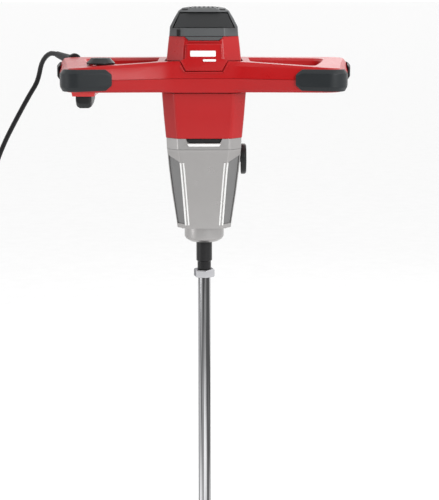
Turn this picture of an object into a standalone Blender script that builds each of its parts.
"""Corded paint mixer: a two-handed drive unit with a helical stirrer in its spindle.

Metres, +Z up. The spindle turns about the Z axis. The origin is the point between the two
hand grips, so the stirrer hangs below it and the motor stands above it.
The user stands on the +Y side and the front of the machine faces -Y.
"""
import bmesh
import bpy
from math import acos, atan2, cos, hypot, pi, radians, sin, sqrt, tan
from mathutils import Matrix, Vector

GAP = 0.0003                      # clearance between pieces that touch

# Heights on the spindle axis, from the top down
CAP_TOP = 0.0765
HOUSING_TOP = 0.0440
BAND_TOP = 0.0170                 # top of the handle frame beside the motor
BAND_SPLIT = -0.0015              # parting line of the handle frame at the front
BAND_BOTTOM = -0.0178
HOUSING_BOTTOM = -0.0690
FLANGE_BOTTOM = -0.0815
GEARCASE_BOTTOM = -0.1730
NECK_BOTTOM = -0.1920
SPINDLE_TIP = -0.2260
STIRRER_LENGTH = 0.5750           # from the spindle tip to the bottom of the ring
FLOOR = SPINDLE_TIP - STIRRER_LENGTH

# Handle frame, seen from above
FRONT_FACE = -0.0545
REAR_FACE = 0.0820
FRONT_CORNER = (0.1528, -0.0825)
REAR_CORNER = (0.1740, 0.0820)
CREASE_X = 0.0330
SHELL_WALL = 0.0026
# Half width of the motor housing where it passes through the handle.
NECK_HALF = 0.0414

# Gear train: pinion on the armature, a layshaft, and the spindle gear
SHAFT_DISTANCE = 0.0225
FIRST_MODULE, PINION_TEETH, WHEEL_TEETH = 0.0010, 8, 37
SECOND_MODULE, LAY_TEETH, SPINDLE_TEETH = 0.0015, 8, 22

# Stirrer
ROD_RADIUS = 0.0072
RING_RADIUS = 0.0555
RING_WIRE = 0.0045
BASKET_HEIGHT = 0.1260
BLADE_WIDTH = 0.0135
BLADE_THICKNESS = 0.0030
BLADE_REACH = 0.0520

# Supply cord
CORD_DIAMETER = 0.0060
BOOT_START = Vector((-0.1540, 0.0826, 0.0105))
BOOT_DIRECTION = Vector((-0.62, 0.75, 0.20)).normalized()
BOOT_LENGTH = 0.0400
COIL_CENTRE = (-0.3250, 0.2000)
COIL_RADIUS = 0.0350
COIL_TURNS_ACROSS, COIL_LAYERS = 3, 5

RED = (0.62, 0.022, 0.022)
BLACK_PLASTIC = (0.035, 0.038, 0.042)
GREY_PLASTIC = (0.12, 0.125, 0.13)
RUBBER = (0.025, 0.027, 0.030)
CAST_METAL = (0.62, 0.61, 0.60)
STEEL = (0.72, 0.72, 0.74)
DARK_STEEL = (0.03, 0.03, 0.03)
COPPER = (0.65, 0.28, 0.12)
CARBON = (0.06, 0.06, 0.06)


# ---------------------------------------------------------------- helpers

def clear_scene():
    for item in list(bpy.data.objects):
        bpy.data.objects.remove(item, do_unlink=True)


def material(name, colour, roughness, metallic=0.0):
    found = bpy.data.materials.get(name)
    if found:
        return found
    made = bpy.data.materials.new(name)
    made.use_nodes = True
    shader = made.node_tree.nodes["Principled BSDF"]
    shader.inputs["Base Color"].default_value = (*colour, 1.0)
    shader.inputs["Roughness"].default_value = roughness
    shader.inputs["Metallic"].default_value = metallic
    return made


FINISHES = {
    "red": (RED, 0.35, 0.0),
    "black": (BLACK_PLASTIC, 0.50, 0.0),
    "grey": (GREY_PLASTIC, 0.45, 0.0),
    "rubber": (RUBBER, 0.75, 0.0),
    "cast": (CAST_METAL, 0.35, 1.0),
    "steel": (STEEL, 0.15, 1.0),
    "dark_steel": (DARK_STEEL, 0.30, 1.0),
    "copper": (COPPER, 0.35, 1.0),
    "carbon": (CARBON, 0.60, 0.0),
}


def add_object(name, mesh, finish):
    bm = bmesh.new()
    bm.from_mesh(mesh)
    bmesh.ops.recalc_face_normals(bm, faces=bm.faces)
    bm.to_mesh(mesh)
    bm.free()
    mesh.shade_smooth()
    mesh.set_sharp_from_angle(angle=radians(32))
    made = bpy.data.objects.new(name, mesh)
    bpy.context.scene.collection.objects.link(made)
    mesh.materials.append(material(name + "_" + finish, *FINISHES[finish]))
    return made


def from_faces(name, points, faces, finish):
    mesh = bpy.data.meshes.new(name)
    mesh.from_pydata([tuple(p) for p in points], [], faces)
    return add_object(name, mesh, finish)


def ring_faces(rows, count, closed_rows=False):
    """Quads between successive closed rings of count points each."""
    faces = []
    last = rows if closed_rows else rows - 1
    for row in range(last):
        below, above = row * count, ((row + 1) % rows) * count
        for i in range(count):
            j = (i + 1) % count
            faces.append((below + i, below + j, above + j, above + i))
    return faces


def loft(name, rings, finish):
    """A solid through rings of points, closed by a flat face at each end."""
    count = len(rings[0])
    points = [p for ring in rings for p in ring]
    faces = ring_faces(len(rings), count)
    faces.append(tuple(reversed(range(count))))
    faces.append(tuple(range((len(rings) - 1) * count, len(rings) * count)))
    return from_faces(name, points, faces, finish)


def tube_loft(name, outer, inner, finish):
    """A wall between outer rings and inner rings, open at both ends."""
    rings = list(outer) + list(reversed(inner))
    points = [p for ring in rings for p in ring]
    return from_faces(name, points, ring_faces(len(rings), len(rings[0]), True), finish)


def turned(name, profile, finish, segments=32, centre=(0.0, 0.0)):
    """A turned piece: profile is (radius, z) and closes on itself or on the axis."""
    solid = profile[0][0] == 0.0
    used = profile[1:-1] if solid else profile
    rings = []
    for radius, z in used:
        rings.append([(centre[0] + radius * cos(2 * pi * i / segments),
                       centre[1] + radius * sin(2 * pi * i / segments), z) for i in range(segments)])
    if solid:
        return loft(name, rings, finish)
    points = [p for ring in rings for p in ring]
    return from_faces(name, points, ring_faces(len(rings), segments, True), finish)


def rod(name, radius, low, high, finish, segments=24, centre=(0.0, 0.0), chamfer=0.0005):
    profile = [(0.0, low), (radius - chamfer, low), (radius, low + chamfer),
               (radius, high - chamfer), (radius - chamfer, high), (0.0, high)]
    return turned(name, profile, finish, segments, centre)


def collar(name, inner, outer, low, high, finish, segments=32, centre=(0.0, 0.0), chamfer=0.0):
    profile = [(inner, low), (outer, low), (outer, high), (inner, high)]
    if chamfer:
        profile[1:3] = [(outer - chamfer, low), (outer, low + chamfer), (outer, high - chamfer),
                        (outer - chamfer, high)]
    return turned(name, profile, finish, segments, centre)


def block(name, low, high, finish, edge=0.001):
    """A box with bevelled edges."""
    bm = bmesh.new()
    bmesh.ops.create_cube(bm, size=1.0)
    for vert in bm.verts:
        for axis in range(3):
            vert.co[axis] = low[axis] if vert.co[axis] < 0 else high[axis]
    if edge:
        bmesh.ops.bevel(bm, geom=list(bm.edges), offset=edge, segments=1, affect="EDGES",
                        profile=0.5, clamp_overlap=True)
    mesh = bpy.data.meshes.new(name)
    bm.to_mesh(mesh)
    bm.free()
    return add_object(name, mesh, finish)


def cut(target, cutter):
    """Take the cutter's space out of the target."""
    cutter.hide_render = True
    cutter.display_type = "WIRE"
    modifier = target.modifiers.new("cut_" + cutter.name, "BOOLEAN")
    modifier.operation = "DIFFERENCE"
    modifier.solver = "EXACT"
    modifier.object = cutter


def rounded_outline(corners, steps=5):
    """Points of a closed polygon whose corners (x, y, radius) are turned into arcs."""
    points = []
    count = len(corners)
    for index, (x, y, radius) in enumerate(corners):
        here = Vector((x, y))
        before = Vector(corners[index - 1][:2]) - here
        after = Vector(corners[(index + 1) % count][:2]) - here
        before.normalize()
        after.normalize()
        half = acos(max(-1.0, min(1.0, before.dot(after)))) / 2
        reach = radius / tan(half)
        centre = here + (before + after).normalized() * (radius / sin(half))
        start = here + before * reach - centre
        turn = pi - 2 * half
        side = 1.0 if before.cross(after) < 0 else -1.0
        for step in range(steps + 1):
            points.append(centre + Matrix.Rotation(side * turn * step / steps, 2) @ start)
    return points


def octagon(half_x, front, back, chamfer_x, chamfer_y, z, steps=2, radius=0.005):
    """A rectangle with cut corners, each corner slightly rounded."""
    corners = []
    for sx, y, sy in ((-1, front, 1), (1, front, 1), (1, back, -1), (-1, back, -1)):
        along = (sx * (half_x - chamfer_x), y, radius)
        across = (sx * half_x, y + sy * chamfer_y, radius)
        corners += [across, along] if sx * sy < 0 else [along, across]
    return [(p.x, p.y, z) for p in rounded_outline(corners, steps)]


# ---------------------------------------------------------------- motor unit

def housing_levels():
    """Height, half width, front, back and chamfer of the motor housing's outside."""
    low, high = BAND_BOTTOM - 0.0008, BAND_TOP + 0.0006
    return [
        (HOUSING_BOTTOM, 0.0430, -0.0465, 0.0480, 0.0130, 0.0140),
        (-0.0450, 0.0452, -0.0480, 0.0490, 0.0135, 0.0145),
        (low, 0.0472, -0.0490, 0.0500, 0.0140, 0.0150),
        (low, NECK_HALF, -0.0455, 0.0460, 0.0165, 0.0135),
        (high, NECK_HALF, -0.0455, 0.0460, 0.0165, 0.0135),
        (high, 0.0417, -0.0500, 0.0490, 0.0190, 0.0160),
        (0.0320, 0.0403, -0.0482, 0.0470, 0.0185, 0.0160),
        (HOUSING_TOP, 0.0389, -0.0462, 0.0450, 0.0180, 0.0160),
    ]


def housing_rings(inset):
    rings = []
    for z, half_x, front, back, chamfer_x, chamfer_y in housing_levels():
        rings.append(octagon(half_x - inset, front + inset, back - inset, chamfer_x - inset * 0.4,
                             chamfer_y - inset * 0.4, z, 2, 0.005))
    return rings


def motor_housing():
    outer = housing_rings(0.0)
    inner = []
    wall = 0.0030
    for z, half_x, front, back, chamfer_x, chamfer_y in housing_levels():
        half_x = min(half_x, NECK_HALF)
        front, back = max(front, -0.0455), min(back, 0.0460)
        inner.append(octagon(half_x - wall, front + wall, back - wall, 0.0145, 0.0130, z, 2, 0.005))
    body = tube_loft("motor_housing", outer, inner, "red")
    notch = trapezoid_prism("cap_tab_notch", (0.0172, 0.0394), (0.0236, HOUSING_TOP + 0.002),
                            -0.060, -0.038)
    cut(body, notch)
    return body


def trapezoid_prism(name, low, high, front, back, finish="red"):
    """A prism along Y: low and high are (half width, z)."""
    outline = [(-low[0], low[1]), (low[0], low[1]), (high[0], high[1]), (-high[0], high[1])]
    rings = [[(x, y, z) for x, z in outline] for y in (front, back)]
    return loft(name, rings, finish)


def front_panel():
    """The raised plate down the front, ending in a shield that sits in the handle's notch."""
    outline = [(0.0204, 0.0061), (0.0264, 0.0176), (0.0212, 0.0196), (0.0200, 0.0360)]
    points = outline + [(-x, z) for x, z in reversed(outline)]
    rings = []
    for lift, inset in ((0.0006, 0.0), (0.0030, 0.0), (0.0038, 0.0008)):
        ring = []
        for x, z in points:
            middle = 0.0200
            x_in = x - inset if x > 0 else x + inset
            z_in = z - inset if z > middle else z + inset
            # The housing's front leans back above the handle and the plate leans with it.
            ring.append((x_in, -0.0500 + max(0.0, z - 0.0176) * 0.145 - lift, z_in))
        rings.append(ring)
    return loft("front_panel", rings, "red")


def cap_levels():
    base = HOUSING_TOP + GAP
    return [
        (base, 0.0386, -0.0458, 0.0442, 0.0150, 0.0150),
        (0.0545, 0.0378, -0.0448, 0.0430, 0.0145, 0.0145),
        (0.0640, 0.0330, -0.0405, 0.0385, 0.0130, 0.0130),
        (0.0720, 0.0282, -0.0352, 0.0335, 0.0115, 0.0115),
        (0.0750, 0.0240, -0.0305, 0.0290, 0.0100, 0.0100),
        (CAP_TOP, 0.0150, -0.0200, 0.0190, 0.0065, 0.0065),
    ]


def motor_cap():
    """The air intake hood: a dished cover with slots on top and a window at the front."""
    wall = 0.0026
    outer = [octagon(hx, f, b, cx, cy, z, 2, 0.0045) for z, hx, f, b, cx, cy in cap_levels()]
    inner = [octagon(hx - wall, f + wall, b - wall, cx * 0.9, cy * 0.9, z - (wall if i else 0.0), 2, 0.0035)
             for i, (z, hx, f, b, cx, cy) in enumerate(cap_levels())]
    count = len(outer[0])
    rings = list(reversed(outer)) + inner
    points = [p for ring in rings for p in ring]
    faces = ring_faces(len(rings), count)
    faces.append(tuple(reversed(range(count))))
    faces.append(tuple(range((len(rings) - 1) * count, len(rings) * count)))
    cap = from_faces("motor_cap", points, faces, "grey")
    cut(cap, trapezoid_prism("cap_window", (0.0350, 0.0532), (0.0268, 0.0706), -0.060, -0.0240))
    for index in range(7):
        x = (index - 3) * 0.0050
        slot = block("cap_slot_%d" % index, (x - 0.0012, -0.0270, 0.0690), (x + 0.0012, 0.0180, 0.0800),
                     "grey", 0.0)
        cut(cap, slot)
    return cap


def cap_tab():
    """The tab under the hood's window that drops into the housing's notch."""
    return trapezoid_prism("cap_tab", (0.0166, 0.0398), (0.0213, HOUSING_TOP - 0.0002),
                           -0.0470, -0.0430, "grey")


def cap_grille():
    """The dark liner inside the hood that closes its window."""
    levels = cap_levels()
    outer, inner = [], []
    for z in (0.0500, 0.0560, 0.0630, 0.0685):
        index = max(i for i, level in enumerate(levels) if level[0] <= z)
        low, high = levels[index], levels[index + 1]
        share = (z - low[0]) / (high[0] - low[0])
        half_x, front, back, chamfer_x, chamfer_y = [a + (b - a) * share for a, b in zip(low[1:], high[1:])]
        for store, inset in ((outer, 0.0046), (inner, 0.0064)):
            store.append(octagon(half_x - inset, front + inset, back - inset, chamfer_x * 0.9,
                                 chamfer_y * 0.9, z, 2, 0.003))
    return tube_loft("cap_grille", outer, inner, "black")


# ---------------------------------------------------------------- handle frame

def frame_top(x, y):
    """Height of the frame's top face: it falls towards the front corners."""
    front = BAND_TOP - 0.0072 * max(0.0, (abs(x) - CREASE_X) / (FRONT_CORNER[0] - CREASE_X))
    share = min(1.0, max(0.0, (y - FRONT_FACE) / (REAR_FACE - FRONT_FACE)))
    return front + (BAND_TOP - front) * share


def frame_split(x, y):
    share = min(1.0, max(0.0, (y - FRONT_FACE) / (REAR_FACE - FRONT_FACE)))
    return BAND_SPLIT - 0.0015 * min(1.0, abs(x) / FRONT_CORNER[0]) + 0.0050 * share


def frame_bottom(x, y):
    share = min(1.0, max(0.0, (y - FRONT_FACE) / (REAR_FACE - FRONT_FACE)))
    return BAND_BOTTOM + 0.0020 * min(1.0, abs(x) / FRONT_CORNER[0]) + 0.0040 * share


CORNER_STEPS = 4


def frame_outline():
    """The frame's outer outline on the +X side, from the front centre to the rear centre."""
    corners = [(0.0, FRONT_FACE, 1e-5), (CREASE_X, FRONT_FACE, 0.004), (*FRONT_CORNER, 0.016),
               (*REAR_CORNER, 0.020), (0.0, REAR_FACE, 1e-5)]
    return rounded_outline(corners, CORNER_STEPS)[CORNER_STEPS:-CORNER_STEPS]


# The frame's inner wall stands this far out from the middle beside the motor.
WINDOW_WALL = NECK_HALF + 0.0018


def frame_pairs():
    """Matched points of the outside and the window edge, once around the +X window, each with
    its share of the edge's lean and, beside the motor, the direction of the wall's thickness."""
    outline = frame_outline()
    n = CORNER_STEPS + 1
    crease = outline[1:1 + n]
    front_arc, rear_arc = outline[1 + n:1 + 2 * n], outline[1 + 2 * n:1 + 3 * n]
    window = rounded_outline([(0.0525, -0.0300, 0.005), (0.1190, -0.0480, 0.010), (0.1380, 0.0530, 0.010),
                              (0.0525, 0.0530, 0.005)], CORNER_STEPS)
    near, front_in, rear_in, far = window[:n], window[n:2 * n], window[2 * n:3 * n], window[3 * n:]
    inward, outward = Vector((0.0, 1.0)), Vector((0.0, -1.0))
    pairs = [(crease[0], near[-1], 0.12, inward)]
    for step in (0.12, 0.4, 0.7):
        pairs.append((crease[-1].lerp(front_arc[0], step), near[-1].lerp(front_in[0], step), 1.0, None))
    pairs += [(a, b, 1.0, None) for a, b in zip(front_arc, front_in)]
    for step in (0.33, 0.66):
        pairs.append((front_arc[-1].lerp(rear_arc[0], step), front_in[-1].lerp(rear_in[0], step), 1.0, None))
    pairs += [(a, b, 1.0, None) for a, b in zip(rear_arc, rear_in)]
    for step in (0.35, 0.7):
        along = rear_arc[-1].lerp(Vector((0.030, REAR_FACE)), step)
        pairs.append((along, rear_in[-1].lerp(far[0], step), 1.0, None))
    pairs.append((Vector((0.030, REAR_FACE)), far[1], 1.0, outward))
    pairs.append((Vector((0.0290, 0.0472)), far[3], 0.12, inward))
    pairs.append((Vector((WINDOW_WALL, 0.0340)), far[-1], 0.12, None))
    pairs.append((Vector((WINDOW_WALL, 0.0)), Vector((0.0525, 0.0)), 0.12, None))
    pairs.append((Vector((WINDOW_WALL, -0.0330)), near[0], 0.12, None))
    pairs.append((Vector((0.0290, -0.0466)), near[-2], 0.12, outward))
    return pairs


def frame_half(name, upper, stations):
    """One half shell of the frame. A station is (from the window edge, lean, wall, share of the
    height, drop): how far a point of the section has moved in from its edge and up its wall."""
    pairs = frame_pairs()
    side = 1.0 if upper else -1.0
    limit = frame_top if upper else frame_bottom
    points = []
    for from_window, lean, wall, rise, drop in stations:
        for outer, window, scale, straight in pairs:
            start, goal = (window, outer) if from_window else (outer, window)
            direction = (goal - start).normalized()
            if straight and not from_window:
                direction = straight
            point = start + direction * (lean * scale + wall)
            base = frame_split(point.x, point.y) + side * GAP / 2
            end = limit(point.x, point.y)
            points.append((point.x, point.y, base + (end - base) * rise - side * drop))
    count, rows, total = len(pairs), len(stations), len(points)
    last = count - 1
    rear = count - 6
    outside = [not station[0] for station in stations]
    faces = []
    for row in range(rows):
        next_row = (row + 1) % rows
        for i in range(count):
            if i in (rear, last) and outside[row] and outside[next_row]:
                continue
            j = (i + 1) % count
            faces.append((row * count + i, row * count + j, next_row * count + j, next_row * count + i))
    points = points + [(-x, y, z) for x, y, z in points]
    faces = faces + [tuple(total + i for i in reversed(quad)) for quad in faces]
    # The two sides join in front of and behind the motor.
    out = [row for row in range(rows) if outside[row]]
    first, second = out[:3], out[3:]
    for a, b in ((last, 0), (rear, rear + 1)):
        loop = [row * count + a for row in first] + [row * count + b for row in reversed(first)]
        loop += [row * count + b for row in reversed(second)] + [row * count + a for row in second]
        for i in range(len(loop)):
            j = (i + 1) % len(loop)
            faces.append((loop[i], loop[j], total + loop[j], total + loop[i]))
    return from_faces(name, points, faces, "red")


def shell_stations(lean_low, lean_high, rise):
    """The closed section of a half shell: up the outside, across, down the window side, and
    back along the inside at the wall's thickness."""
    wall = SHELL_WALL
    return (
        (False, 0.0, 0.0, 0.0, 0.0), (False, lean_low, 0.0, rise, 0.0), (False, lean_high, 0.0, 1.0, 0.0),
        (True, 0.0050, 0.0, 1.0, 0.0), (True, 0.0018, 0.0, 0.80, 0.0), (True, 0.0, 0.0, 0.0, 0.0),
        (True, 0.0, wall, 0.0, 0.0), (True, 0.0018, wall * 0.9, 0.80, wall * 0.5),
        (True, 0.0050, wall * 0.5, 1.0, wall), (False, lean_high, wall * 0.6, 1.0, wall),
        (False, lean_low, wall * 0.9, rise, wall * 0.5), (False, 0.0, wall, 0.0, 0.0),
    )


TOP_STATIONS = shell_stations(0.0035, 0.0070, 0.74)
BOTTOM_STATIONS = shell_stations(0.0022, 0.0055, 0.78)

TRIGGER_X = (-0.1415, -0.1240)
TRIGGER_Y = (-0.0600, -0.0050)


def handle_shells():
    top = frame_half("handle_top_shell", True, TOP_STATIONS)
    cut(top, trapezoid_prism("shield_notch", (0.0209, 0.0058), (0.0292, 0.0215), -0.060, -0.0420))
    gland_hole = rod("gland_hole", 0.0066, -0.02, 0.02, "red", 20)
    gland_hole.rotation_euler = BOOT_DIRECTION.to_track_quat("Z", "Y").to_euler()
    gland_hole.location = BOOT_START
    cut(top, gland_hole)
    low, high = LOCK_BUTTON
    button_hole = block("button_hole", (low[0], low[1] - GAP, low[2] - GAP),
                        (high[0], high[1] + GAP, high[2] + GAP),
                        "red", 0.0)
    cut(top, button_hole)
    bottom = frame_half("handle_bottom_shell", False, BOTTOM_STATIONS)
    slot = block("trigger_slot", (TRIGGER_X[0] - 0.0006, TRIGGER_Y[0] - 0.0006, -0.030),
                 (TRIGGER_X[1] + 0.0006, TRIGGER_Y[1] + 0.0006, -0.008), "red", 0.0)
    cut(bottom, slot)
    return top, bottom


def bumper(name, corner, mirror, finish="rubber"):
    """A rubber guard around one outer corner, with slanted ends."""
    outline = frame_outline()
    n = CORNER_STEPS + 1
    first = 1 + n if corner == "front" else 1 + 2 * n
    arc = outline[first:first + n]
    if corner == "front":
        start = arc[0].lerp(outline[n], 0.34)
        end = arc[-1].lerp(outline[first + n], 0.14)
        path = [start, start.lerp(arc[0], 0.18), start.lerp(arc[0], 0.6)] + arc + [end]
        heights = [0.0062, 0.0116, 0.0118] + [0.0120] * n + [0.0100]
    else:
        start = arc[0].lerp(outline[first - 1], 0.14)
        end = arc[-1].lerp(outline[first + n], 0.16)
        path = [start] + arc + [arc[-1].lerp(end, 0.8), end]
        heights = [0.0080] + [0.0100] * n + [0.0098, 0.0055]
    normals = []
    for index in range(len(path)):
        straight = corner == "rear" and index >= len(path) - 3
        after = path[min(index + 1, len(path) - 1)]
        before = path[len(path) - 3] if straight else path[max(index - 1, 0)]
        ahead = after - before
        normals.append(Vector((ahead.y, -ahead.x)).normalized())
    # Share of the height, how far the handle's surface has leaned in there, and the thickness.
    levels = ((-1.0, 0.0012, 0.0008), (-0.62, 0.0, 0.0022), (0.62, 0.0, 0.0022), (1.0, 0.0019, 0.0008))
    rings = []
    for point, normal, height in zip(path, normals, heights):
        outer, inner = [], []
        for share, lean, thick in levels:
            base = frame_split(point.x, point.y)
            z = base + share * height
            lean_here = lean * height / 0.0120
            for store, reach in ((outer, GAP + thick - lean_here), (inner, GAP - lean_here)):
                at = point + normal * reach
                store.append(((-at.x if mirror else at.x), at.y, z))
        rings.append(outer + list(reversed(inner)))
    return loft(name, rings, finish)


def bumpers():
    for corner in ("front", "rear"):
        for side, mirror in (("left", True), ("right", False)):
            guard = bumper("%s_%s_bumper" % (corner, side), corner, mirror)
            if (corner, side) == ("rear", "left"):
                boot_space = rod("boot_space", 0.0105, -0.0150, 0.0400, "rubber", 24)
                boot_space.rotation_euler = BOOT_DIRECTION.to_track_quat("Z", "Y").to_euler()
                boot_space.location = BOOT_START
                cut(guard, boot_space)


# ---------------------------------------------------------------- hand controls

DIAL_CENTRE = (-0.1150, -0.0350)
DIAL_BASE = 0.0130
LOCK_BUTTON = ((-0.1370, 0.0060, 0.0025), (-0.1245, 0.0180, 0.0095))


def control_pod():
    """A web across the window's front corner that carries the speed dial and lock button."""
    outline = rounded_outline([(-0.0955, -0.0403, 0.002), (-0.0955, -0.0200, 0.006),
                               (-0.1240, -0.0120, 0.002), (-0.1182, -0.0462, 0.0103)], 3)
    rings = []
    for z, inset in ((-0.0060, 0.0), (0.0115, 0.0), (DIAL_BASE - GAP, 0.0012)):
        middle = Vector((-0.1090, -0.0300))
        rings.append([(*(p + (middle - p).normalized() * inset), z) for p in outline])
    pod = loft("control_pod", rings, "red")
    return pod


def speed_dial():
    """A ribbed thumb dial that turns about Z."""
    rings = []
    count = 30
    for z, radius in ((0.0, 0.0155), (0.0018, 0.0162), (0.0050, 0.0128), (0.0072, 0.0108)):
        ring = []
        for i in range(count):
            angle = 2 * pi * i / count
            ribbed = radius - (0.0006 if i % 3 == 0 and 0.0 < z < 0.008 else 0.0)
            ring.append((ribbed * cos(angle), ribbed * sin(angle), z))
        rings.append(ring)
    dial = loft("speed_dial", rings, "black")
    dial.location = (*DIAL_CENTRE, DIAL_BASE)
    return dial


def lock_button():
    """The switch lock on the grip's inner wall, pressed outwards by the thumb."""
    low, high = LOCK_BUTTON
    return block("lock_button", low, high, "black", 0.0012)


def trigger_parts():
    """The finger trigger under the left grip, on a pin at its front end."""
    x0, x1 = TRIGGER_X
    y0, y1 = TRIGGER_Y
    side = [(y0 + 0.0012, -0.0118), (y0, -0.0150), (y0, -0.0290), (y0 + 0.0050, -0.0342),
            (y0 + 0.0150, -0.0350), (y1 - 0.0180, -0.0338), (y1 - 0.0060, -0.0310), (y1, -0.0255),
            (y1, -0.0155), (y1 - 0.0012, -0.0142)]
    rings = []
    for x, inset in ((x0, 0.0042), (x0 + 0.0012, 0.0018), (x0 + 0.0040, 0.0), (x1 - 0.0040, 0.0),
                     (x1 - 0.0012, 0.0018), (x1, 0.0042)):
        ring = []
        for y, z in side:
            inward = inset * 0.3 if y < (y0 + y1) / 2 else -inset * 0.3
            ring.append((x, y + inward, z + (inset if z < -0.0260 else 0.0)))
        rings.append(ring)
    lever = loft("trigger", rings, "black")
    hole = rod("trigger_pin_hole", 0.0016, -0.02, 0.02, "black", 16)
    hole.rotation_euler = (0.0, pi / 2, 0.0)
    hole.location = ((x0 + x1) / 2, y0 + 0.0055, -0.0150)
    cut(lever, hole)
    pin = rod("trigger_pin", 0.0015, -0.0086, 0.0086, "steel", 16, chamfer=0.0002)
    pin.rotation_euler = (0.0, pi / 2, 0.0)
    pin.location = hole.location
    return lever, pin


def trigger_collar():
    """The raised rim under the grip around the trigger."""
    (x0, x1), (y0, y1) = TRIGGER_X, TRIGGER_Y
    rings = []
    # The lever's rear end swings out by this much as it is squeezed.
    swing = 0.0012
    for reach, drop in ((0.0044, 0.0), (0.0036, 0.0045), (0.0006, 0.0045), (0.0006, 0.0)):
        opening = reach < 0.001
        radius = 0.0006 if opening else 0.003
        rear = y1 + reach + (swing if opening else 0.0)
        corners = [(x0 - reach, y0 - reach, radius), (x1 + reach, y0 - reach, radius),
                   (x1 + reach, rear, radius), (x0 - reach, rear, radius)]
        rings.append([(p.x, p.y, -0.0163 - drop) for p in rounded_outline(corners, 3)])
    points = [p for ring in rings for p in ring]
    return from_faces("trigger_collar", points, ring_faces(len(rings), len(rings[0]), True), "red")


def handle_electrics():
    block("switch_module", (-0.1530, -0.0450, -0.0070), (-0.1370, 0.0000, 0.0050), "black", 0.0012)
    block("speed_module", (0.0600, 0.0575, -0.0080), (0.1150, 0.0760, 0.0100), "black", 0.0012)


# ---------------------------------------------------------------- motor

STATOR = (-0.0560, -0.0140)
STATOR_OUTER = 0.0360
STATOR_BORE = 0.0215


def stator_core():
    """Laminated field core with two poles."""
    count = 48
    outer, bore = [], []
    for i in range(count):
        angle = 2 * pi * i / count
        outer.append((STATOR_OUTER * cos(angle), STATOR_OUTER * sin(angle)))
        pole = abs(sin(angle)) > sin(radians(42))
        radius = STATOR_BORE if pole else 0.0300
        bore.append((radius * cos(angle), radius * sin(angle)))
    low, high = STATOR
    rings = [[(x, y, z) for x, y in outer] for z in (low, high)]
    inner = [[(x, y, z) for x, y in bore] for z in (low, high)]
    return tube_loft("stator_core", rings, inner, "dark_steel")


def field_coil(name, middle):
    """A saddle winding around one pole."""
    low, high = STATOR[0] - 0.0055, STATOR[1] + 0.0055
    radius, spread = 0.0258, radians(59)
    path = []
    for i in range(9):
        path.append((middle - spread + 2 * spread * i / 8, high))
    path.append((middle + spread, (low + high) / 2))
    for i in range(9):
        path.append((middle + spread - 2 * spread * i / 8, low))
    path.append((middle - spread, (low + high) / 2))
    rings = []
    count = len(path)
    for i, (angle, z) in enumerate(path):
        before, after = path[i - 1], path[(i + 1) % count]
        along_turn = (after[0] - before[0]) * radius
        along_z = after[1] - before[1]
        size = hypot(along_turn, along_z)
        side_turn, side_z = -along_z / size, along_turn / size
        ring = []
        for radial, across in ((-0.0030, -0.0030), (0.0030, -0.0030), (0.0030, 0.0030), (-0.0030, 0.0030)):
            a = angle + across * side_turn / radius
            r = radius + radial
            ring.append((r * cos(a), r * sin(a), z + across * side_z))
        rings.append(ring)
    points = [p for ring in rings for p in ring]
    return from_faces(name, points, ring_faces(len(rings), 4, True), "copper")


def armature():
    """Shaft, slotted core, commutator and fan, all turning together."""
    shaft = [(0.0, -0.0985), (0.0017, -0.0985), (0.0017, -0.0830), (0.0050, -0.0820), (0.0050, 0.0300),
             (0.0040, 0.0305), (0.0040, 0.0405), (0.0, 0.0405)]
    turned("armature_shaft", shaft, "steel", 20)
    count = 48
    outer = []
    for i in range(count):
        radius = 0.0208 if i % 4 < 3 else 0.0180
        angle = 2 * pi * i / count
        outer.append((radius * cos(angle), radius * sin(angle)))
    low, high = STATOR
    bore = 0.0050 + GAP
    inner = [(bore * cos(2 * pi * i / count), bore * sin(2 * pi * i / count)) for i in range(count)]
    tube_loft("armature_core", [[(x, y, z) for x, y in outer] for z in (low, high)],
              [[(x, y, z) for x, y in inner] for z in (low, high)], "dark_steel")
    winding = [(bore, high + GAP), (0.0170, high + GAP), (0.0185, high + 0.0040), (0.0150, high + 0.0090),
               (bore, high + 0.0090)]
    turned("armature_winding_upper", winding, "copper", 16)
    winding = [(bore, low - 0.0080), (0.0150, low - 0.0080), (0.0185, low - 0.0040), (0.0170, low - GAP),
               (bore, low - GAP)]
    turned("armature_winding_lower", winding, "copper", 16)
    collar("commutator", bore, 0.0125, 0.0020, 0.0200, "copper", 20)
    fan_wheel()


def fan_wheel():
    """Radial fan below the armature that draws air in at the cap and blows it out at the gearbox."""
    blades = 7
    low, high = -0.0715, -0.0655
    hub = 0.0050 + GAP
    disc = collar("fan", hub, 0.0345, low, low + 0.0018, "black", 30)
    for index in range(blades):
        blade = block("fan_blade_%d" % index, (0.0090, -0.0007, low + 0.0009), (0.0335, 0.0007, high),
                      "black", 0.0)
        blade.rotation_euler = (0.0, 0.0, 2 * pi * index / blades)
        blade.hide_render = True
        blade.display_type = "WIRE"
        joined = disc.modifiers.new("join_blade_%d" % index, "BOOLEAN")
        joined.operation = "UNION"
        joined.solver = "EXACT"
        joined.object = blade
    return disc


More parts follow.
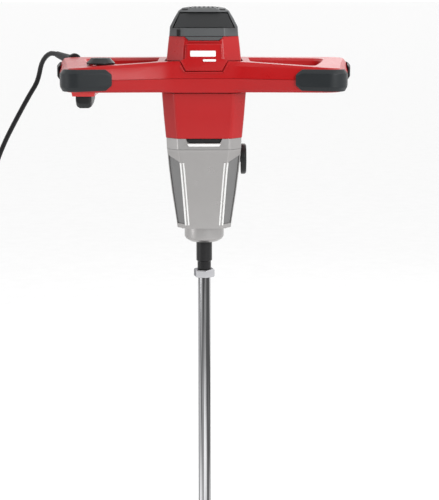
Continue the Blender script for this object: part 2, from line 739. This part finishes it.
def motor_fixed_parts():
    stator_core()
    field_coil("field_coil_front", -pi / 2)
    field_coil("field_coil_rear", pi / 2)
    collar("upper_bearing", 0.0040 + GAP, 0.0110, 0.0320, 0.0390, "steel", 20)
    collar("lower_bearing", 0.0050 + GAP, 0.0140, -0.0810, -0.0725, "steel", 20)
    for side, sign in (("left", -1), ("right", 1)):
        near, far = 0.0128, 0.0300
        low_x, high_x = sorted((sign * near, sign * far))
        block("carbon_brush_" + side, (low_x, -0.0030, 0.0070), (high_x, 0.0030, 0.0150), "carbon", 0.0003)
        holder = block("brush_holder_" + side, (min(sign * 0.0160, sign * 0.0350), -0.0052, 0.0045),
                       (max(sign * 0.0160, sign * 0.0350), 0.0052, 0.0175), "black", 0.0006)
        bore = block("brush_bore_" + side, (min(sign * 0.010, sign * 0.0400), -0.0033, 0.0067),
                     (max(sign * 0.010, sign * 0.0400), 0.0033, 0.0153), "black", 0.0)
        cut(holder, bore)


# ---------------------------------------------------------------- gearbox

def gearbox_flange():
    """The intermediate flange between motor and gearbox, with the armature's lower bearing."""
    top, bottom = HOUSING_BOTTOM - GAP, FLANGE_BOTTOM
    outer = [octagon(0.0424, -0.0462, 0.0478, 0.0130, 0.0140, top, 2, 0.005),
             octagon(0.0420, -0.0460, 0.0476, 0.0130, 0.0140, bottom, 2, 0.005)]
    flange = loft("gearbox_flange", list(reversed(outer)), "cast")
    fan_space = rod("fan_space", 0.0368, -0.0722, -0.0600, "cast", 40, chamfer=0.0001)
    cut(flange, fan_space)
    seat = rod("bearing_seat", 0.0140 + GAP, -0.0900, -0.0650, "cast", 32, chamfer=0.0001)
    cut(flange, seat)
    outlet = trapezoid_prism("air_outlet", (0.0180, -0.0742), (0.0212, -0.0680), -0.060, -0.0250)
    cut(flange, outlet)
    lay_seat = rod("layshaft_seat", 0.0030 + GAP, -0.0900, -0.0770, "cast", 20, (0.0, SHAFT_DISTANCE))
    cut(flange, lay_seat)
    return flange


def air_baffle():
    """The slatted insert of the front air outlet."""
    plate = trapezoid_prism("air_baffle", (0.0175, -0.0738), (0.0204, -0.0695), -0.0440, -0.0415, "black")
    return plate


def gearcase_levels():
    top = FLANGE_BOTTOM - GAP
    return [
        (top, 0.0418, -0.0458, 0.0474, 0.0130, 0.0140),
        (-0.0860, 0.0414, -0.0452, 0.0470, 0.0135, 0.0145),
        (-0.1050, 0.0398, -0.0430, 0.0462, 0.0140, 0.0150),
        (-0.1300, 0.0368, -0.0402, 0.0425, 0.0130, 0.0140),
        (-0.1640, 0.0318, -0.0355, 0.0365, 0.0105, 0.0120),
        (GEARCASE_BOTTOM, 0.0306, -0.0342, 0.0350, 0.0100, 0.0115),
    ]


def gear_housing():
    """The cast gearcase: a tapering cup with a thick floor for the spindle's bearing."""
    wall = 0.0030
    levels = gearcase_levels()
    outer = [octagon(hx, f, b, cx, cy, z, 2, 0.004) for z, hx, f, b, cx, cy in levels]
    inside = levels[:-1]
    inner = []
    for index, (z, hx, f, b, cx, cy) in enumerate(inside):
        inner.append(octagon(hx - wall, f + wall, b - wall, cx * 0.9, cy * 0.9, z, 2, 0.003))
    rings = list(reversed(outer)) + inner
    count = len(outer[0])
    points = [p for ring in rings for p in ring]
    faces = ring_faces(len(rings), count)
    faces.append(tuple(reversed(range(count))))
    faces.append(tuple(range((len(rings) - 1) * count, len(rings) * count)))
    case = from_faces("gear_housing", points, faces, "cast")
    cut(case, rod("case_bore", 0.0160 + GAP, -0.1800, -0.1500, "cast", 32))
    knob_bore = rod("knob_bore", 0.0040 + GAP, 0.0300, 0.0500, "cast", 20)
    knob_bore.rotation_euler = (0.0, pi / 2, 0.0)
    knob_bore.location = (0.0, 0.0, SELECTOR_Z)
    cut(case, knob_bore)
    for sign in (-1, 1):
        cut(case, corner_recess("case_recess_%s" % ("left" if sign < 0 else "right"), sign))
    return case


def case_section(z):
    """Half width, front, back and chamfers of the gearcase at a height."""
    levels = gearcase_levels()
    index = max(i for i in range(len(levels) - 1) if levels[i][0] >= z)
    upper, lower = levels[index], levels[index + 1]
    share = (upper[0] - z) / (upper[0] - lower[0])
    return [a + (b - a) * share for a, b in zip(upper[1:], lower[1:])]


def corner_recess(name, sign):
    """The shallow pocket in the slanted face beside the front panel, its top edge slanted."""
    depth, clear = 0.0013, 0.0080
    rings = []
    for z_near, z_far in ((-0.0960, -0.0890), (-0.1050, -0.1050), (-0.1300, -0.1300), (-0.1640, -0.1640),
                          (-0.1680, -0.1680)):
        ring = []
        corners = ((z_near, 0.04, False), (z_far, 0.93, False), (z_far, 0.93, True), (z_near, 0.04, True))
        for z, share, out in corners:
            half_x, front, _back, chamfer_x, chamfer_y = case_section(z)
            start = Vector((half_x - chamfer_x, front))
            end = Vector((half_x, front + chamfer_y))
            along = (end - start).normalized()
            normal = Vector((along.y, -along.x))
            at = start.lerp(end, share) + normal * (clear if out else -depth)
            ring.append((sign * at.x, at.y, z))
        rings.append(ring)
    return loft(name, rings, "cast")


SELECTOR_Z = -0.0967


def gear_selector():
    """The two-speed selector on the right side of the gearcase."""
    rings = []
    count = 32
    for reach, radius in ((0.0, 0.0168), (0.0006, 0.0176), (0.0046, 0.0176), (0.0062, 0.0160)):
        ring = []
        for i in range(count):
            angle = 2 * pi * i / count
            ring.append((reach, radius * cos(angle), radius * sin(angle)))
        rings.append(ring)
    knob = loft("gear_selector", rings, "black")
    knob.location = (0.0424, 0.0, SELECTOR_Z)
    shaft = rod("selector_shaft", 0.0040, 0.0250, 0.0420, "steel", 20)
    shaft.rotation_euler = (0.0, pi / 2, 0.0)
    shaft.location = (0.0, 0.0, SELECTOR_Z)
    return knob


def gear(name, teeth, module, low, high, bore, centre, phase, addendum, steps=2):
    """A spur gear with involute flanks."""
    pitch = module * teeth / 2
    base = pitch * cos(radians(20))
    tip = pitch + addendum * module
    root = pitch - 1.15 * module
    slack = 0.00009 / pitch
    half_tooth = pi / (2 * teeth) - slack + tan(radians(20)) - radians(20)
    low_radius = max(base, root)
    flank = []
    for i in range(steps):
        radius = low_radius + (tip - low_radius) * i / (steps - 1)
        roll = sqrt(max(0.0, (radius / base) ** 2 - 1))
        flank.append((radius, half_tooth - (roll - atan2(roll, 1))))
    outline = []
    for tooth in range(teeth):
        middle = phase + 2 * pi * tooth / teeth
        side = [(root, flank[0][1] + 0.00005 / root)] + flank if root < base - 0.0002 else flank
        for radius, away in side:
            outline.append((radius, middle - away))
        for radius, away in reversed(side):
            outline.append((radius, middle + away))
    rings, inner = [], []
    for z in (low, high):
        rings.append([(centre[0] + r * cos(a), centre[1] + r * sin(a), z) for r, a in outline])
        inner.append([(centre[0] + bore * cos(a), centre[1] + bore * sin(a), z) for r, a in outline])
    return tube_loft(name, rings, inner, "steel")


def gear_train():
    lay = (0.0, SHAFT_DISTANCE)
    towards_lay = pi / 2
    gear("drive_pinion", PINION_TEETH, FIRST_MODULE, -0.0975, -0.0850, 0.0020, (0.0, 0.0), towards_lay, 0.85)
    gear("layshaft_wheel", WHEEL_TEETH, FIRST_MODULE, -0.0960, -0.0870, 0.0045 + GAP, lay,
         -pi / 2 + pi / WHEEL_TEETH, 0.65)
    gear("layshaft_pinion", LAY_TEETH, SECOND_MODULE, -0.1480, -0.1280, 0.0032, lay, -pi / 2, 0.85)
    gear("spindle_gear", SPINDLE_TEETH, SECOND_MODULE, -0.1450, -0.1310, 0.0080 + GAP, (0.0, 0.0),
         pi / 2 + pi / SPINDLE_TEETH, 0.65)
    shaft = [(0.0, -0.1600), (0.0029, -0.1600), (0.0029, -0.1270), (0.0045, -0.1265), (0.0045, -0.0830),
             (0.0030, -0.0826), (0.0030, -0.0780), (0.0, -0.0780)]
    turned("layshaft", shaft, "steel", 20, lay)
    rod_profile = [(0.0, SPINDLE_TIP + GAP), (0.0079, SPINDLE_TIP + GAP), (0.0079, -0.2165),
                   (0.0092, -0.2155), (0.0092, -0.1530), (0.0080, -0.1525), (0.0080, -0.1040),
                   (0.0, -0.1040)]
    turned("spindle", rod_profile, "dark_steel", 28)
    collar("spindle_bearing_upper", 0.0092 + GAP, 0.0160, -0.1710, -0.1560, "steel", 24)
    collar("spindle_bearing_lower", 0.0092 + GAP, 0.0160, -0.1850, -0.1740, "steel", 24)
    collar("spindle_seal", 0.0092 + GAP, 0.0150, -0.1905, -0.1855, "rubber", 24)
    neck = [(0.0160 + GAP, GEARCASE_BOTTOM - GAP), (0.0228, GEARCASE_BOTTOM - GAP), (0.0228, -0.1862),
            (0.0214, -0.1890), (0.0180, -0.1912), (0.0168, NECK_BOTTOM), (0.0150 + GAP, NECK_BOTTOM),
            (0.0150 + GAP, -0.1853), (0.0160 + GAP, -0.1853)]
    turned("spindle_neck", neck, "cast", 32)


# ---------------------------------------------------------------- stirrer

RING_Z = FLOOR + RING_WIRE
BLADE_LOW = FLOOR + 2 * RING_WIRE + GAP + BLADE_THICKNESS / 2
BLADE_HIGH = BLADE_LOW + BASKET_HEIGHT


def stirrer():
    rod("stirrer_rod", ROD_RADIUS, FLOOR + 0.0040, SPINDLE_TIP - 0.0094, "steel", 20)
    across = 0.0110 / cos(pi / 6)
    low, high = SPINDLE_TIP - 0.0091, SPINDLE_TIP
    rings = []
    chamfered = across * 0.94
    for z, radius in ((low, chamfered), (low + 0.0009, across), (high - 0.0009, across), (high, chamfered)):
        angles = [radians(-17.1 - 60 * i) for i in range(6)]
        rings.append([(radius * cos(angle), radius * sin(angle), z) for angle in angles])
    loft("hex_collar", rings, "steel")
    profile = []
    for i in range(10):
        angle = 2 * pi * i / 10
        profile.append((RING_RADIUS + RING_WIRE * cos(angle), RING_Z + RING_WIRE * sin(angle)))
    turned("stirrer_ring", profile, "steel", 40)
    stirrer_blade("stirrer_blade_left", pi)
    stirrer_blade("stirrer_blade_right", 0.0)


def blade_path(start_angle):
    """Centre line of a blade: out along a spoke, one turn down around the rod, and back in."""
    points = []
    spoke_start = ROD_RADIUS + 0.0012
    bend = 0.0340
    sweep = radians(330)
    corner = radians(20)
    for radius in (spoke_start, 0.020):
        points.append((radius, start_angle, 0.0))
    turn_steps = 4
    for i in range(turn_steps):
        share = (i + 1) / turn_steps
        reach = bend + (BLADE_REACH - bend) * sin(share * pi / 2)
        points.append((reach, start_angle - corner * share ** 1.5, 0.0))
    steps = 26
    for i in range(1, steps):
        turned_by = (sweep - 2 * corner + radians(30)) * i / steps
        points.append((BLADE_REACH, start_angle - corner - turned_by, i / steps))
    end_angle = start_angle - radians(360)
    for i in range(turn_steps):
        share = 1 - i / turn_steps
        reach = bend + (BLADE_REACH - bend) * sin(share * pi / 2)
        points.append((reach, end_angle + corner * share ** 1.5, 1.0))
    for radius in (0.020, spoke_start):
        points.append((radius, end_angle, 1.0))
    path = []
    for radius, angle, drop in points:
        eased = drop * drop * (3 - 2 * drop) * 0.35 + drop * 0.65
        z = BLADE_HIGH + (BLADE_LOW - BLADE_HIGH) * eased
        path.append(Vector((radius * cos(angle), radius * sin(angle), z)))
    return path


def stirrer_blade(name, start_angle):
    path = blade_path(start_angle)
    rings = []
    for i, point in enumerate(path):
        tangent = (path[min(i + 1, len(path) - 1)] - path[max(i - 1, 0)]).normalized()
        side = tangent.cross(Vector((0, 0, 1))).normalized() * BLADE_WIDTH / 2
        up = side.cross(tangent).normalized() * BLADE_THICKNESS / 2
        rings.append([point - side - up, point + side - up, point + side + up, point - side + up])
    return loft(name, rings, "steel")


# ---------------------------------------------------------------- supply cord

def smooth_path(points, spacing):
    """Points at an even spacing along a smooth curve through the given points."""
    dense = []
    for i in range(len(points) - 1):
        p0 = points[max(i - 1, 0)]
        p1, p2 = points[i], points[i + 1]
        p3 = points[min(i + 2, len(points) - 1)]
        for step in range(24):
            t = step / 24
            dense.append(0.5 * ((2 * p1) + (p2 - p0) * t + (2 * p0 - 5 * p1 + 4 * p2 - p3) * t * t
                                + (3 * p1 - p0 - 3 * p2 + p3) * t * t * t))
    dense.append(points[-1])
    total = sum((b - a).length for a, b in zip(dense, dense[1:]))
    count = max(2, round(total / spacing))
    result, walked, target = [dense[0]], 0.0, total / count
    for a, b in zip(dense, dense[1:]):
        length = (b - a).length
        while length > 0 and walked + length >= target - 1e-9 and len(result) < count:
            result.append(a.lerp(b, (target - walked) / length))
            target += total / count
        walked += length
    result.append(dense[-1])
    return result


def cord_route():
    """The cord's own route: out of the boot, over and down, and along the floor to the coil."""
    tip = BOOT_START + BOOT_DIRECTION * (BOOT_LENGTH + 3 * GAP)
    floor = FLOOR + CORD_DIAMETER / 2
    hand_chosen = [
        (-0.1867, 0.1219, 0.0194), (-0.1925, 0.1283, 0.0167), (-0.1977, 0.1334, 0.0112),
        (-0.2015, 0.1367, 0.0037), (-0.2036, 0.1378, -0.0051), (-0.2078, 0.1372, -0.0180),
        (-0.2168, 0.1362, -0.0330), (-0.2268, 0.1350, -0.0505), (-0.2375, 0.1338, -0.0700),
        (-0.2478, 0.1326, -0.0900), (-0.2575, 0.1314, -0.1130), (-0.2655, 0.1305, -0.1400),
        (-0.2715, 0.1299, -0.1760), (-0.2762, 0.1295, -0.2280), (-0.2788, 0.1290, -0.3000),
        (-0.2810, 0.1285, -0.4200),
        (-0.2825, 0.1280, -0.5400), (-0.2830, 0.1278, -0.6500), (-0.2830, 0.1278, -0.7300),
        (-0.2830, 0.1300, -0.7600), (-0.2832, 0.1375, -0.7825), (-0.2838, 0.1520, floor + 0.0035),
        (-0.2840, 0.1640, floor + 0.0006), (-0.2840, COIL_CENTRE[1] - 0.0262, floor + 0.0004),
    ]
    return [tip, *(Vector(p) for p in hand_chosen)]


def supply_cord():
    points = smooth_path(cord_route(), 0.0145)
    curve = bpy.data.curves.new("supply_cord", "CURVE")
    curve.dimensions = "3D"
    curve.bevel_depth = CORD_DIAMETER / 2
    curve.bevel_resolution = 2
    curve.use_fill_caps = True
    spline = curve.splines.new("POLY")
    spline.points.add(len(points) - 1)
    for knot, point in zip(spline.points, points):
        knot.co = (*point, 1.0)
    curve.materials.append(material("supply_cord_rubber", *FINISHES["rubber"]))
    made = bpy.data.objects.new("supply_cord", curve)
    bpy.context.scene.collection.objects.link(made)
    return made


def cord_coil():
    half_width = COIL_TURNS_ACROSS * CORD_DIAMETER / 2
    height = COIL_LAYERS * CORD_DIAMETER
    low, high = FLOOR, FLOOR + height
    edge = 0.0022
    inner, outer = COIL_RADIUS - half_width, COIL_RADIUS + half_width
    profile = [(inner + edge, low), (outer - edge, low), (outer, low + edge), (outer, high - edge),
               (outer - edge, high), (inner + edge, high), (inner, high - edge), (inner, low + edge)]
    return turned("cord_coil", profile, "rubber", 32, COIL_CENTRE)


def cord_boot():
    """The tapered strain relief at the left rear corner."""
    profile = [(0.0, -0.0100), (0.0060, -0.0100), (0.0060, 0.0008), (0.0098, 0.0012), (0.0100, 0.0042),
               (0.0074, 0.0056),
               (0.0060, 0.0140), (0.0048, 0.0270), (0.0038, BOOT_LENGTH), (0.0, BOOT_LENGTH)]
    boot = turned("cord_boot", profile, "rubber", 20)
    boot.rotation_euler = BOOT_DIRECTION.to_track_quat("Z", "Y").to_euler()
    boot.location = BOOT_START
    return boot


def mains_plug():
    """A round-nosed two-pin plug lying beside the coil, nose towards -Y."""
    x = COIL_CENTRE[0] - COIL_RADIUS - CORD_DIAMETER
    back = COIL_CENTRE[1] - 0.0520
    levels = ((0.0, 0.0040), (0.0100, 0.0046), (0.0140, 0.0085), (0.0220, 0.0130), (0.0380, 0.0160),
              (0.0420, 0.0155))
    rings = []
    for along, radius in levels:
        ring = []
        for i in range(24):
            angle = 2 * pi * i / 24
            wide = radius * cos(angle) * 1.05
            ring.append((x + wide, back - along, FLOOR + 0.0140 + min(radius, 0.0138) * sin(angle)))
        rings.append(ring)
    loft("mains_plug", rings, "rubber")
    for side, sign in (("left", -1), ("right", 1)):
        pin = rod("plug_pin_" + side, 0.0024, 0.0, 0.0190, "steel", 14, chamfer=0.0006)
        pin.rotation_euler = (pi / 2, 0.0, 0.0)
        pin.location = (x + sign * 0.0095, back - 0.0420 - GAP, FLOOR + 0.0140)


def build():
    clear_scene()
    motor_housing()
    front_panel()
    motor_cap()
    cap_tab()
    cap_grille()
    handle_shells()
    bumpers()
    control_pod()
    speed_dial()
    lock_button()
    trigger_parts()
    trigger_collar()
    handle_electrics()
    armature()
    motor_fixed_parts()
    gearbox_flange()
    air_baffle()
    gear_housing()
    gear_selector()
    gear_train()
    stirrer()
    supply_cord()
    cord_coil()
    cord_boot()
    mains_plug()


build()
